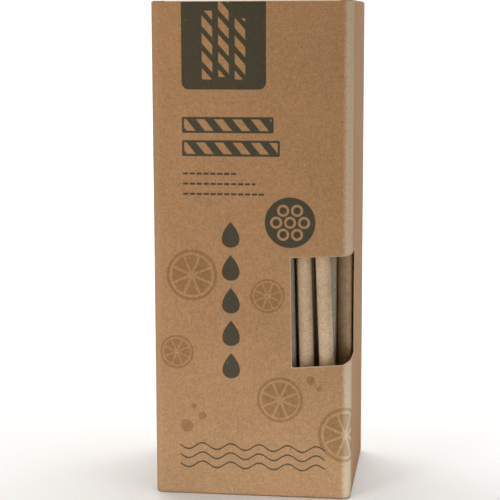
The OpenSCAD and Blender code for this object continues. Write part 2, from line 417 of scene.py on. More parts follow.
def fold_bottom(bm):
    """Folds the bottom flaps in: the outer one from the front, the inner one, then the dust flaps."""
    levels = ((-1, FOOT_R, OUTER_FLAP), (1, BOARD + FOOT_R, INNER_FLAP))
    for side, level, length in levels:
        edges = open_edges(bm, lambda co: near(co.y, side * HALF_D) and near(co.z, level))
        last = fold_over(bm, edges, (0, side * (HALF_D - FOOT_R), level), (-side, 0, 0))
        extend(bm, last, (0, -side * (length - FOOT_R), 0))
    level = 2 * BOARD + FOOT_R
    for side in (-1, 1):
        edges = open_edges(bm, lambda co: near(co.x, side * HALF_W) and near(co.z, level))
        last = fold_over(bm, edges, (side * (HALF_W - FOOT_R), 0, level), (0, side, 0))
        extend(bm, last, (-side * (DUST_FLAP - FOOT_R), 0, 0))


def fold_top(bm):
    """Folds the two top dust flaps in, with their slanted ends."""
    level = SHOULDER - FOLD_R
    squeeze = (FLAT_D - TOP_DUST_TRIM) / FLAT_D
    for side in (-1, 1):
        edges = open_edges(bm, lambda co: near(co.x, side * HALF_W) and near(co.z, level))
        last = fold_over(bm, edges, (side * (HALF_W - FOLD_R), 0, level), (0, -side, 0))
        last = extend(bm, last, (-side * FOLD_R, 0, 0))
        last = extend(bm, last, (-side * (TOP_DUST_TRIM - 2 * FOLD_R), 0, 0), (1, squeeze, 1))
        extend(bm, last, (-side * (TOP_DUST_FLAP - TOP_DUST_TRIM), 0, 0))


def open_seam(bm):
    """Opens the glued seam in the left wall and lays the glue flap inside it."""
    for y in (SEAM_Y, SEAM_Y + SEAM_W):
        cut(bm, side_faces(bm, -1), (0, y, 0), (0, 1, 0))
    drop(bm, [f for f in side_faces(bm, -1) if SEAM_Y < f.calc_center_median().y < SEAM_Y + SEAM_W])
    low = 3 * BOARD + FOLD_R
    high = SHOULDER - BOARD - FOLD_R
    corners = ((FLAT_D, low), (FLAT_D - GLUE_FLAP, low + GLUE_SLANT),
               (FLAT_D - GLUE_FLAP, high - GLUE_SLANT), (FLAT_D, high))
    flap = bm.faces.new([bm.verts.new((-HALF_W + BOARD, y, z)) for y, z in corners])
    flap.normal_update()
    if flap.normal.x > 0:
        flap.normal_flip()
    pieces = [flap]
    for i in range(1, PANEL_ROWS):
        cut(bm, pieces, (0, 0, SHOULDER * i / PANEL_ROWS), (0, 0, 1))
        pieces = [f for f in bm.faces if all(near(v.co.x, -HALF_W + BOARD) for v in f.verts)]


def build_carton(materials):
    """The folded and glued blank, without its lid."""
    bm = upright_tube()
    trim_foot(bm)
    trim_head(bm)
    cut_window(bm)
    rule_panels(bm)
    open_seam(bm)
    fold_bottom(bm)
    fold_top(bm)
    bow_panels(bm)
    piece = add_object("carton_board", bm, materials)
    give_thickness(piece)
    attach(piece, "carton")
    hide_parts("carton")


# The lid

def flat_sheet(low, high, z=0):
    """A rectangle in plan that faces up."""
    bm = bmesh.new()
    bmesh.ops.create_grid(bm, x_segments=1, y_segments=1, size=0.5)
    bmesh.ops.scale(bm, vec=(high[0] - low[0], high[1] - low[1], 1), verts=bm.verts)
    bmesh.ops.translate(bm, vec=((low[0] + high[0]) / 2, (low[1] + high[1]) / 2, z), verts=bm.verts)
    return bm


def round_corners(bm, corners, radius, steps):
    bmesh.ops.bevel(bm, geom=corners, offset=radius, offset_type="OFFSET", affect="VERTICES",
                    segments=steps, profile=0.5, material=-1)


def build_lid(materials):
    """The lid panel with its ears and the rounded nose that the tuck flap hangs from."""
    nose_y = TUCK_Y + FOLD_R
    strip_y = HALF_D - LID_STRIP_REACH
    bm = flat_sheet((-LID_HALF_W, TUCK_Y), (LID_HALF_W, HALF_D - BOARD), TOP)
    round_corners(bm, [v for v in bm.verts if v.co.y < 0], LID_CORNER, LID_CORNER_STEPS)
    for x in (-FLAT_W, -TUCK_HALF_W, TUCK_HALF_W, FLAT_W):
        cut(bm, list(bm.faces), (x, 0, 0), (1, 0, 0))
    for y in (nose_y, strip_y):
        cut(bm, list(bm.faces), (0, y, 0), (0, 1, 0))
    for side, y, half_w in ((-1, nose_y, TUCK_HALF_W), (1, strip_y, FLAT_W)):
        middles = [(f, f.calc_center_median()) for f in bm.faces]
        drop(bm, [f for f, m in middles if abs(m.x) < half_w and side * m.y > side * y])
    rule_columns(bm)
    edges = open_edges(bm, lambda co: near(co.y, nose_y) and abs(co.x) < TUCK_HALF_W + HAIR)
    fold_over(bm, edges, (0, nose_y, TOP - FOLD_R), (1, 0, 0))
    for vert in bm.verts:
        if near(vert.co.z, TOP):
            across = max(0, 1 - (vert.co.x / LID_HALF_W) ** 2)
            vert.co.z += LID_CROWN * across * max(0, 1 - (vert.co.y / nose_y) ** 2)
    piece = add_object("lid_board", bm, materials)
    give_thickness(piece)
    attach(piece, "lid")
    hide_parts("lid")


def flat_edge(bm, half_w, y, z):
    """A level edge across the carton, in short lengths."""
    columns = round(2 * half_w / PANEL_GRID)
    verts = [bm.verts.new((half_w * (2 * i / columns - 1), y, z)) for i in range(columns + 1)]
    return [bm.edges.new(pair) for pair in zip(verts, verts[1:])]


def face_outwards(bm, outward):
    """Turns a sheet so that most of it faces the given way."""
    bmesh.ops.recalc_face_normals(bm, faces=bm.faces)
    total = sum((f.normal * f.calc_area() for f in bm.faces), Vector())
    if total.dot(outward) < 0:
        bmesh.ops.reverse_faces(bm, faces=bm.faces)


def build_lid_crease(materials):
    """The fold between the back wall and the lid."""
    bm = bmesh.new()
    start = SHOULDER - LID_STRIP
    edges = flat_edge(bm, FLAT_W, HALF_D, start)
    for _ in range(2):
        edges = extend(bm, edges, (0, 0, LID_STRIP / 2))
    edges = fold_over(bm, edges, (0, HALF_D - BOARD, SHOULDER), (1, 0, 0))
    for _ in range(2):
        edges = extend(bm, edges, (0, -(LID_STRIP_REACH - BOARD) / 2, 0))
    face_outwards(bm, Vector((0, 1, 1)))
    piece = add_object("lid_crease", bm, materials)
    give_thickness(piece, STRIP_BOARD)
    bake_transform(piece)


def build_tuck_flap(materials):
    """The flap that is tucked in behind the front wall."""
    bm = flat_sheet((-TUCK_HALF_W, -TUCK_LENGTH), (TUCK_HALF_W, -TUCK_STRIP))
    round_corners(bm, [v for v in bm.verts if near(v.co.y, -TUCK_LENGTH)], TUCK_CORNER, TUCK_CORNER_STEPS)
    upright = Matrix.Translation((0, -BOARD, 0)) @ Matrix.Rotation(QUARTER, 4, "X")
    bmesh.ops.transform(bm, matrix=TUCK_HANG @ upright, verts=bm.verts)
    face_outwards(bm, Vector((0, -1, 0)))
    piece = add_object("tuck_board", bm, materials)
    give_thickness(piece)
    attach(piece, "tuck_flap")
    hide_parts("tuck_flap")


def build_tuck_crease(materials):
    """The fold between the lid's nose and the tuck flap."""
    bm = bmesh.new()
    edges = flat_edge(bm, TUCK_HALF_W, TUCK_Y, TOP - FOLD_R)
    last = Vector((0, TUCK_Y, TOP - FOLD_R))
    for i in range(1, TUCK_STRIP_STEPS + 1):
        point = TUCK_HANG @ Vector((0, -BOARD, -TUCK_STRIP * i / TUCK_STRIP_STEPS))
        edges = extend(bm, edges, point - last)
        last = point
    face_outwards(bm, Vector((0, -1, 0)))
    piece = add_object("tuck_crease_board", bm, materials)
    give_thickness(piece, STRIP_BOARD)
    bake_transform(piece)


# The straws

def straw_mesh(bm, foot, head, turn, tone_and_shade, uv, tone_and_shade_layer):
    """Adds one paper tube between two points, with a map round and along it."""
    length = (head - foot).length
    inner = STRAW_R - STRAW_WALL
    lip = STRAW_LIP
    section = ((inner, lip), (inner + lip, 0), (STRAW_R - lip, 0), (STRAW_R, lip),
               (STRAW_R, length - lip), (STRAW_R - lip, length), (inner + lip, length),
               (inner, length - lip))
    verts = [bm.verts.new((r, 0, z)) for r, z in section]
    edges = [bm.edges.new((verts[i - 1], verts[i])) for i in range(len(verts))]
    old = set(bm.faces)
    bmesh.ops.spin(bm, geom=verts + edges, cent=(0, 0, 0), axis=(0, 0, 1), dvec=(0, 0, 0),
                   angle=2 * math.pi, steps=STRAW_SIDES, use_merge=True, use_duplicate=False)
    faces = [f for f in bm.faces if f not in old]
    for face in faces:
        middle = face.calc_center_median()
        bearing = math.atan2(middle.y, middle.x)
        for loop in face.loops:
            place = loop.vert.co
            across = Vector((place.x, place.y)).angle_signed(Vector((middle.x, middle.y)))
            loop[uv].uv = ((bearing + across) / (2 * math.pi) + turn, place.z / length)
            loop.vert[tone_and_shade_layer] = tone_and_shade
    verts = list({v for f in faces for v in f.verts})
    lean = Vector((0, 0, 1)).rotation_difference(head - foot).to_matrix().to_4x4()
    bmesh.ops.transform(bm, matrix=Matrix.Translation(foot) @ lean, verts=verts)


def build_straws(name, places, material, chance):
    """One or more straws that stand for the frame's node of that name. Those in shade behind the window get
    a painted shade, greyer or browner.
    """
    bm = bmesh.new()
    uv = bm.loops.layers.uv.new("straw")
    # Holds each straw's random tone, and the painted shade value of the shaded straws.
    tone_and_shade_layer = bm.verts.layers.float.new("straw_tone_and_shade")
    for i, (foot, head) in enumerate(places):
        # Painted shade: the straws in shade behind the window take a darker, greyer or browner paper; the
        # rest take a random tone.
        if name.startswith(SHADE_GREYED_STRAWS):
            tone_and_shade = PAINTED_GREY_SHADE
        elif (name, i) == SHADE_BROWNED_STRAW:
            tone_and_shade = PAINTED_BROWN_SHADE
        else:
            tone_and_shade = chance.uniform(-1, 1)
        straw_mesh(bm, foot, head, chance.random(), tone_and_shade, uv, tone_and_shade_layer)
    bmesh.ops.recalc_face_normals(bm, faces=bm.faces)
    piece = add_object(name + "_paper", bm, [material])
    piece.data.set_sharp_from_angle(angle=STRAW_SHARP)
    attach(piece, "carton")
    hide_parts(name)


def leaning_place(name):
    """The foot and the head of a straw that leans aside, from the box that the frame gives."""
    low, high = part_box(name)
    y = (low.y + high.y) / 2
    return [(Vector((high.x - STRAW_R, y, low.z)), Vector((low.x + STRAW_R, y, high.z)))]


def row_places(name):
    """The feet and heads of a close-packed row."""
    low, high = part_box(name)
    y = (low.y + high.y) / 2
    first = low.x + STRAW_R
    pitch = (high.x - low.x - 2 * STRAW_R) / (STRAWS_IN_ROW - 1)
    return [(Vector((first + i * pitch, y, low.z)), Vector((first + i * pitch, y, high.z)))
            for i in range(STRAWS_IN_ROW)]


def build_all_straws(material):
    chance = random.Random(STRAW_SEED)
    for name in sorted(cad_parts):
        if name.startswith("straw_row"):
            build_straws(name, row_places(name), material, chance)
        elif "straw" in name:
            build_straws(name, leaning_place(name), material, chance)


# Shader helpers

class Sheet:
    """Short calls for laying out a node tree."""

    def __init__(self, tree):
        self.tree = tree

    def node(self, kind, **settings):
        made = self.tree.nodes.new(kind)
        for key, value in settings.items():
            setattr(made, key, value)
        return made

    def feed(self, socket, value):
        if isinstance(value, bpy.types.NodeSocket):
            self.tree.links.new(value, socket)
        elif value is not None:
            socket.default_value = value

    def math(self, operation, a, b=None, clamp=False):
        made = self.node("ShaderNodeMath", operation=operation, use_clamp=clamp)
        for socket, value in zip(made.inputs, (a, b)):
            self.feed(socket, value)
        return made.outputs[0]

    def add(self, a, b):
        return self.math("ADD", a, b)

    def sub(self, a, b):
        return self.math("SUBTRACT", a, b)

    def mul(self, a, b):
        return self.math("MULTIPLY", a, b)

    def top(self, a, b):
        return self.math("MAXIMUM", a, b)

    def least(self, a, b):
        return self.math("MINIMUM", a, b)

    def size(self, a):
        return self.math("ABSOLUTE", a)

    def swing(self, noise, share):
        """A noise centred on nought and scaled."""
        return self.mul(self.sub(noise, 0.5), share)

    def ramp(self, value, low, high, to_low=0.0, to_high=1.0):
        """A smooth step from one value to another."""
        made = self.node("ShaderNodeMapRange", interpolation_type="SMOOTHSTEP")
        self.feed(made.inputs["Value"], value)
        made.inputs["From Min"].default_value = low
        made.inputs["From Max"].default_value = high
        made.inputs["To Min"].default_value = to_low
        made.inputs["To Max"].default_value = to_high
        return made.outputs["Result"]

    def noise(self, vector, scale, detail, roughness, distortion=0.0):
        made = self.node("ShaderNodeTexNoise")
        self.feed(made.inputs["Vector"], vector)
        made.inputs["Scale"].default_value = scale
        made.inputs["Detail"].default_value = detail
        made.inputs["Roughness"].default_value = roughness
        made.inputs["Distortion"].default_value = distortion
        return made.outputs["Fac"]

    def mapping(self, vector, scale, turn=(0, 0, 0)):
        made = self.node("ShaderNodeMapping")
        self.feed(made.inputs["Vector"], vector)
        made.inputs["Scale"].default_value = scale
        made.inputs["Rotation"].default_value = turn
        return made.outputs["Vector"]

    def split(self, vector):
        made = self.node("ShaderNodeSeparateXYZ")
        self.feed(made.inputs[0], vector)
        return made.outputs[0], made.outputs[1], made.outputs[2]

    def mix(self, share, a, b, blend="MIX"):
        made = self.node("ShaderNodeMix", data_type="RGBA", blend_type=blend)
        self.feed(made.inputs[0], share)
        self.feed(made.inputs[6], a if isinstance(a, bpy.types.NodeSocket) else (*a, 1))
        self.feed(made.inputs[7], b if isinstance(b, bpy.types.NodeSocket) else (*b, 1))
        return made.outputs[2]

    def shaded(self, colour, factor):
        """A colour made lighter or darker by a factor."""
        grey = self.node("ShaderNodeCombineXYZ")
        for socket in grey.inputs:
            self.feed(socket, factor)
        return self.mix(1.0, colour, grey.outputs[0], "MULTIPLY")

    def use(self, group, **values):
        made = self.node("ShaderNodeGroup", node_tree=group)
        for name, value in values.items():
            self.feed(made.inputs[name.replace("_", " ")], value)
        return made.outputs


def new_group(name, inputs, outputs):
    """An empty node group with named sockets: its sheet, its inputs and its output node."""
    group = bpy.data.node_groups.new(name, "ShaderNodeTree")
    for label, kind, value in inputs:
        socket = group.interface.new_socket(name=label, in_out="INPUT", socket_type=kind)
        if value is not None:
            socket.default_value = value
    for label, kind in outputs:
        group.interface.new_socket(name=label, in_out="OUTPUT", socket_type=kind)
    sheet = Sheet(group)
    return sheet, sheet.node("NodeGroupInput").outputs, sheet.node("NodeGroupOutput")


# Kraft fibre, in millimetres. Each noise has a scale, a detail and a roughness
CLOUD_NOISE = (0.035, 2.0, 0.5)
MOTTLE_NOISE = (0.4, 3.0, 0.6)
SPECKLE_NOISE = (1.15, 2.0, 0.55)
GRAIN_NOISE = (2.6, 3.0, 0.7)
FIBRE_NOISE = (1.0, 3.0, 0.6, 0.6)
FIBRE_UPRIGHT = ((3.2, 3.2, 0.55), (0.15, 0.2, 0.1))
FIBRE_LEVEL = ((0.5, 0.5, 3.4), (0.2, -0.15, 0.6))
CLOUD_SWING = 1.0
MOTTLE_SWING = 0.9
SPECKLE_SWING = 1.3
GRAIN_SWING = 1.1
FIBRE_SWING = 1.2
GRAIN_RELIEF = 0.5

# Flecks: cells to the millimetre, stretch, turn, size, and the share of the cells that have one
LIGHT_FLECKS = ((0.42, (1, 1, 0.5), (0.3, 0.5, 0.2), 0.16, 0.3),
                (0.75, (0.45, 1, 1), (0.9, -0.4, 0.7), 0.17, 0.24))
DARK_FLECKS = ((0.34, (1, 1, 0.5), (-0.6, 0.3, 0.9), 0.12, 0.12),
               (0.72, (0.5, 1, 1), (0.1, 0.8, -0.4), 0.15, 0.09))
FLECK_CORE = 0.35


def fleck_mask(sheet, place, scale, stretch, turn, size, share):
    """Short bits of fibre: one in each of a share of the cells."""
    cells = sheet.node("ShaderNodeTexVoronoi")
    sheet.feed(cells.inputs["Vector"], sheet.mapping(place, stretch, turn))
    cells.inputs["Scale"].default_value = scale
    near_point = sheet.ramp(cells.outputs["Distance"], size, size * FLECK_CORE)
    pick = sheet.split(cells.outputs["Color"])[0]
    return sheet.mul(near_point, sheet.math("LESS_THAN", pick, share))


def kraft_fibre_group():
    """Kraft board or paper: cloudy formation, fine grain, long fibres and light and dark flecks."""
    sheet, given, out = new_group(
        "kraft_fibre", [("Place", "NodeSocketVector", None)],
        [("Cloud", "NodeSocketFloat"), ("Grain", "NodeSocketFloat"), ("Light Fleck", "NodeSocketFloat"),
         ("Dark Fleck", "NodeSocketFloat"), ("Height", "NodeSocketFloat")])
    place = given["Place"]
    broad = sheet.noise(place, *CLOUD_NOISE)
    mottle = sheet.noise(place, *MOTTLE_NOISE)
    speckle = sheet.noise(place, *SPECKLE_NOISE)
    grain = sheet.noise(place, *GRAIN_NOISE)
    upright = sheet.noise(sheet.mapping(place, *FIBRE_UPRIGHT), *FIBRE_NOISE)
    level = sheet.noise(sheet.mapping(place, *FIBRE_LEVEL), *FIBRE_NOISE)
    fibres = sheet.mul(sheet.add(upright, level), 0.5)
    cloud = sheet.add(sheet.swing(broad, CLOUD_SWING), sheet.swing(mottle, MOTTLE_SWING))
    fine = sheet.add(sheet.swing(speckle, SPECKLE_SWING),
                     sheet.add(sheet.swing(grain, GRAIN_SWING), sheet.swing(fibres, FIBRE_SWING)))
    sheet.feed(out.inputs["Cloud"], cloud)
    sheet.feed(out.inputs["Grain"], fine)
    for name, flecks in (("Light Fleck", LIGHT_FLECKS), ("Dark Fleck", DARK_FLECKS)):
        sheet.feed(out.inputs[name], sheet.top(*(fleck_mask(sheet, place, *kind) for kind in flecks)))
    sheet.feed(out.inputs["Height"], sheet.add(sheet.mul(grain, GRAIN_RELIEF), fibres))
    return sheet.tree


# The print on the front: positions in millimetres across the face and up from the foot.
# Each place starts with its middle, across and up. The panel then has its half width, half height
# and corner, the straws in it their half height, bars and lines their half width, and wheels and
# bubbles their radius. Stripes have a pitch, a share and a slope. Waves have a height, a swing and
# the number to the millimetre.

PRINT_SOFT = 0.09
PRINT_REACH = 0.3
STRIPE_SOFT = 0.02
PANEL = (-11, 190, 17, 23, 3)
PANEL_STRAWS = ((-17.6, 184.5, 13.5), (-11, 188, 16), (-4.4, 183, 12))
TUBE_HALF_W = 2.1
TUBE_ROUND = 0.5
TUBE_STRIPES = (6.2, 0.42, 0.9)
HEAVY_BARS = ((-9.5, 152.9, 18.5), (-8.25, 143.6, 19.75))
BAR_HALF_H = 3.2
BAR_ROUND = 0.6
BAR_RIM = 0.45
BAR_STRIPES = (7.4, 0.52, 0.8)
FINE_LINES = ((-16.6, 133.4, 11.2), (-13.1, 129.3, 14.7), (-11.2, 125.2, 16.6))
LINE_HALF_H = 0.42
LINE_ROUND = 0.3
DASH_PITCH = 2.8
DASH_END = (0.80, 0.74)
DISC = (15.6, 114)
DISC_R = 10.2
DISC_RINGS = 6
DISC_RING_STEP = 5.6
DISC_RING_R = 1.95
DISC_RING_LINE = 0.5
WHEELS = ((-24.5, 92, 10.5), (6.5, 84, 7), (-31, 60, 7), (11.5, 41, 9.5), (38.5, 27, 11.5))
SEGMENTS = 8
RIND = (0.94, 0.06)
PULP = (0.16, 0.78)
SPOKE = 0.045
DROP_U = -8.5
DROP_LOW = 49.5
DROP_PITCH = 13.5
DROP_COUNT = 5
DROP_STRETCH = 1.28
DROP_SWELL = 9.4
WAVES = ((20.5, 1.3, 0.085), (16.6, 1.3, 0.085), (12.7, 1.3, 0.085))
WAVE_HALF_W = 30
WAVE_LINE = 0.32
BUBBLES = ((-27, 29, 2.6), (-20.5, 33.5, 1.7), (-24, 37.5, 1.1), (24, 49.5, 1.8), (27.5, 46, 1.1))


def ink(sheet, distance):
    """Turns a signed distance into a mask with a printed edge."""
    return sheet.ramp(distance, PRINT_SOFT, -PRINT_SOFT)


def box_distance(sheet, u, v, middle_u, middle_v, half_u, half_v, radius):
    """Signed distance from a box with round corners."""
    du = sheet.sub(sheet.size(sheet.sub(u, middle_u)), half_u - radius)
    dv = sheet.sub(sheet.size(sheet.sub(v, middle_v)), half_v - radius)
    far = far_from(sheet, sheet.top(du, 0.0), sheet.top(dv, 0.0), 0.0, 0.0)
    return sheet.sub(sheet.add(far, sheet.least(sheet.top(du, dv), 0.0)), radius)


def far_from(sheet, u, v, middle_u, middle_v):
    """Distance from a point of the print."""
    du = sheet.sub(u, middle_u)
    dv = sheet.sub(v, middle_v)
    return sheet.math("SQRT", sheet.add(sheet.mul(du, du), sheet.mul(dv, dv)))


def folded_turn(sheet, u, v, middle_u, middle_v, count):
    """The bearing of a point, folded so that one of a number of equal sectors stands for all."""
    bearing = sheet.math("ARCTAN2", sheet.sub(v, middle_v), sheet.sub(u, middle_u))
    sector = 2 * math.pi / count
    return sheet.sub(bearing, sheet.mul(sheet.math("ROUND", sheet.mul(bearing, 1 / sector)), sector))


def stripes(sheet, u, v, pitch, share, slope):
    """Slanted stripes, as wound round a straw."""
    run = sheet.math("FRACT", sheet.mul(sheet.add(u, sheet.mul(v, slope)), 1 / pitch))
    return sheet.ramp(sheet.size(sheet.sub(run, 0.5)), share / 2 + STRIPE_SOFT, share / 2 - STRIPE_SOFT)


def wheel_group():
    """A slice of fruit: a rind and its segments."""
    sheet, given, out = new_group(
        "fruit_wheel",
        [("U", "NodeSocketFloat", 0.0), ("V", "NodeSocketFloat", 0.0), ("Middle U", "NodeSocketFloat", 0.0),
         ("Middle V", "NodeSocketFloat", 0.0), ("Radius", "NodeSocketFloat", 1.0)],
        [("Mask", "NodeSocketFloat")])
    u, v, mid_u, mid_v, radius = (given[n] for n in ("U", "V", "Middle U", "Middle V", "Radius"))
    reach = far_from(sheet, u, v, mid_u, mid_v)
    turn = sheet.size(folded_turn(sheet, u, v, mid_u, mid_v, SEGMENTS))
    rind = sheet.sub(sheet.size(sheet.sub(reach, sheet.mul(radius, RIND[0]))), sheet.mul(radius, RIND[1]))
    spoke = sheet.sub(sheet.mul(radius, SPOKE),
                      sheet.mul(reach, sheet.math("SINE", sheet.sub(math.pi / SEGMENTS, turn))))
    pulp = sheet.top(sheet.top(spoke, sheet.sub(reach, sheet.mul(radius, PULP[1]))),
                     sheet.sub(sheet.mul(radius, PULP[0]), reach))
    sheet.feed(out.inputs["Mask"], ink(sheet, sheet.least(rind, pulp)))
    return sheet.tree


def panel_mask(sheet, u, v):
    """The dark panel at the top, with striped straws left pale in it."""
    panel = ink(sheet, box_distance(sheet, u, v, *PANEL))
    for mid_u, mid_v, half in PANEL_STRAWS:
        tube = ink(sheet, box_distance(sheet, u, v, mid_u, mid_v, TUBE_HALF_W, half, TUBE_ROUND))
        band = stripes(sheet, u, v, *TUBE_STRIPES)
        panel = sheet.mul(panel, sheet.sub(1.0, sheet.mul(tube, sheet.sub(1.0, band))))
    return panel


def bar_mask(sheet, u, v, mid_u, mid_v, half):
    """A striped bar with a thin rim."""
    bar = box_distance(sheet, u, v, mid_u, mid_v, half, BAR_HALF_H, BAR_ROUND)
    rim = ink(sheet, sheet.sub(sheet.size(sheet.add(bar, BAR_RIM)), BAR_RIM))
    return sheet.top(rim, sheet.mul(ink(sheet, bar), stripes(sheet, u, v, *BAR_STRIPES)))


def dash_mask(sheet, u, v, mid_u, mid_v, half):
    """A fine dashed line."""
    line = ink(sheet, box_distance(sheet, u, v, mid_u, mid_v, half, LINE_HALF_H, LINE_ROUND))
    run = sheet.math("FRACT", sheet.mul(sheet.sub(u, mid_u - half), 1 / DASH_PITCH))
    return sheet.mul(line, sheet.ramp(run, *DASH_END))


def disc_mask(sheet, u, v):
    """The disc, with one straw's end in its middle and a ring of them round it."""
    reach = far_from(sheet, u, v, *DISC)
    turn = folded_turn(sheet, u, v, *DISC, DISC_RINGS)
    ring_u = sheet.sub(sheet.mul(reach, sheet.math("COSINE", turn)), DISC_RING_STEP)
    ring_v = sheet.mul(reach, sheet.math("SINE", turn))
    outer = far_from(sheet, ring_u, ring_v, 0.0, 0.0)
    rings = sheet.sub(sheet.size(sheet.sub(sheet.least(outer, reach), DISC_RING_R)), DISC_RING_LINE)
    return sheet.mul(ink(sheet, sheet.sub(reach, DISC_R)), sheet.sub(1.0, ink(sheet, rings)))


def drops_mask(sheet, u, v):
    """A column of drops, each pointed at its top."""
    run = sheet.mul(sheet.sub(v, DROP_LOW), 1 / DROP_PITCH)
    rise = sheet.math("MULTIPLY", sheet.math("FRACT", run), DROP_STRETCH, clamp=True)
    half = sheet.mul(sheet.mul(sheet.math("SQRT", rise), sheet.sub(1.0, rise)), DROP_SWELL)
    within = sheet.mul(sheet.math("GREATER_THAN", run, 0.0), sheet.math("LESS_THAN", run, DROP_COUNT))
    return sheet.mul(ink(sheet, sheet.sub(sheet.size(sheet.sub(u, DROP_U)), half)), within)


def wave_mask(sheet, u, v, level, swing, pace):
    """A fine wavy line across the foot of the front."""
    crest = sheet.add(sheet.mul(sheet.math("SINE", sheet.mul(u, 2 * math.pi * pace)), swing), level)
    line = sheet.sub(sheet.size(sheet.sub(v, crest)), WAVE_LINE)
    return ink(sheet, sheet.top(line, sheet.sub(sheet.size(u), WAVE_HALF_W)))


def printed_place(sheet, x, y):
    """The place across the print, which runs on round the creases."""
    behind = sheet.top(sheet.add(y, HALF_D / MM), 0.0)
    return sheet.add(x, sheet.mul(sheet.math("SIGN", x), behind))


def printed_side(sheet, y, z):
    """The front half of the walls, without the flaps that are folded in at the top."""
    on_front = sheet.math("LESS_THAN", y, -HALF_D / MM + PRINT_REACH)
    below_top = sheet.math("LESS_THAN", z, (SHOULDER - FOLD_R) / MM)
    return sheet.mul(sheet.math("LESS_THAN", y, 0.0), sheet.top(on_front, below_top))


def joined(sheet, masks):
    total = masks[0]
    for mask in masks[1:]:
        total = sheet.top(total, mask)
    return total


def print_group(wheel):
    """Masks of the dark ink and of the pale tint, on the front and round its creases."""
    sheet, given, out = new_group(
        "front_print", [("Place", "NodeSocketVector", None)],
        [("Ink", "NodeSocketFloat"), ("Tint", "NodeSocketFloat")])
    x, y, v = sheet.split(given["Place"])
    u = printed_place(sheet, x, y)
    side = printed_side(sheet, y, v)
    marks = [panel_mask(sheet, u, v), disc_mask(sheet, u, v), drops_mask(sheet, u, v)]
    for mask, places in ((bar_mask, HEAVY_BARS), (dash_mask, FINE_LINES), (wave_mask, WAVES)):
        marks += [mask(sheet, u, v, *place) for place in places]
    tints = [sheet.use(wheel, U=u, V=v, Middle_U=mid_u, Middle_V=mid_v, Radius=radius)[0]
             for mid_u, mid_v, radius in WHEELS]
    for mid_u, mid_v, radius in BUBBLES:
        tints.append(ink(sheet, sheet.sub(far_from(sheet, u, v, mid_u, mid_v), radius)))
    sheet.feed(out.inputs["Ink"], sheet.mul(joined(sheet, marks), side))
    sheet.feed(out.inputs["Tint"], sheet.mul(joined(sheet, tints), side))
    return sheet.tree


# Materials

KRAFT = (0.425, 0.231, 0.106)
KRAFT_INSIDE = (0.43, 0.245, 0.12)
KRAFT_EDGE = (0.56, 0.38, 0.235)
# Pale board for wear, and for the painted highlight on the right-hand crease and the lid's nose
KRAFT_WORN_AND_LIT = (0.71, 0.55, 0.37)
FLECK_LIGHT = (0.66, 0.48, 0.32)
FLECK_DARK = (0.16, 0.095, 0.055)
INK = (0.066, 0.054, 0.029)
TINT = (0.74, 0.69, 0.62)
STRAW_PAPER = (0.588, 0.412, 0.257)
# Painted shade for the straws in shade behind the window: a greyer and a browner paper
STRAW_PAINTED_GREY_SHADE = (0.447, 0.353, 0.264)
STRAW_PAINTED_BROWN_SHADE = (0.403, 0.259, 0.145)
STRAW_RIM = (0.60, 0.44, 0.29)
STRAW_SEAM_DARK = (0.20, 0.13, 0.08)

# How much of the clouds and of the grain each surface shows, and how much of the flecks
BOARD_FIBRE = (0.2, 0.52)
INK_FIBRE = (0.2, 0.5)
EDGE_FIBRE = (0.2, 0.5)
STRAW_FIBRE = (0.5, 0.5)
EDGE_FINENESS = 2.5
LIGHT_FLECK_SHOW = 0.38
DARK_FLECK_SHOW = 0.5
INK_FLECK_SHOW = 0.22

# Surfaces: roughness, what the grain and the ink do to it, the reflection, and the relief
BOARD_ROUGH = 0.82
STRAW_ROUGH = 0.8
EDGE_ROUGH = 0.95
GRAIN_ROUGH = 0.2
INK_SMOOTH = 0.12
SPECULAR = 0.25
RELIEF = 0.03 * MM
BOARD_BUMP = 0.35
STRAW_BUMP = 0.3
EDGE_BUMP = 0.6

# Where the board is made pale, in millimetres: wear, and painted highlights on the lit right-hand crease,
# the lid's nose and the window's rim
FRAY_NOISE = (1.7, 3.0, 0.75)
FRAY = 4.0
WEAR_AND_HIGHLIGHT_ACROSS = (FLAT_W / MM - 0.7, FLAT_W / MM + 1.9)
WEAR_AND_HIGHLIGHT_ALONG = (FLAT_D / MM - 1.0, FLAT_D / MM + 2.0)
HANDLED_AND_LIT = (20.0, 40.0)
HANDLED_AND_LIT_LEAN = 0.2
HANDLED_AND_LIT_LEAST = 0.1
NOSE_LIFT = 0.2
PATCH_NOISE = (1.3, 4.0, 0.7)
PATCH_EDGE = (0.30, 0.62)
WINDOW_RIM = (0.55, 0.05)

# The straw's wound seam: turns in its length, the line's edge within a turn, and its ends
STRAW_TURNS = 197 / 19
STRAW_SEAM = (0.485, 0.497)
STRAW_SEAM_SHOW = 0.16
STRAW_SEAM_DEPTH = 0.4
STRAW_END = (0.4993, 0.4999)
STRAW_END_SHOW = 0.6
TONE_AND_SHADE_SHOW = 0.05


def new_material(name):
    material = bpy.data.materials.new(name)
    material.use_nodes = True
    tree = material.node_tree
    sheet = Sheet(tree)
    return material, sheet, tree.nodes["Principled BSDF"]


def in_millimetres(sheet):
    """Object coordinates in millimetres."""
    place = sheet.node("ShaderNodeTexCoord").outputs["Object"]
    return sheet.mapping(place, (1 / MM, 1 / MM, 1 / MM))


def fibre_shade(sheet, fibre, cloud_share, grain_share):
    """How much lighter or darker the fibre makes each place."""
    return sheet.add(1.0, sheet.add(sheet.mul(fibre["Cloud"], cloud_share),
                                    sheet.mul(fibre["Grain"], grain_share)))


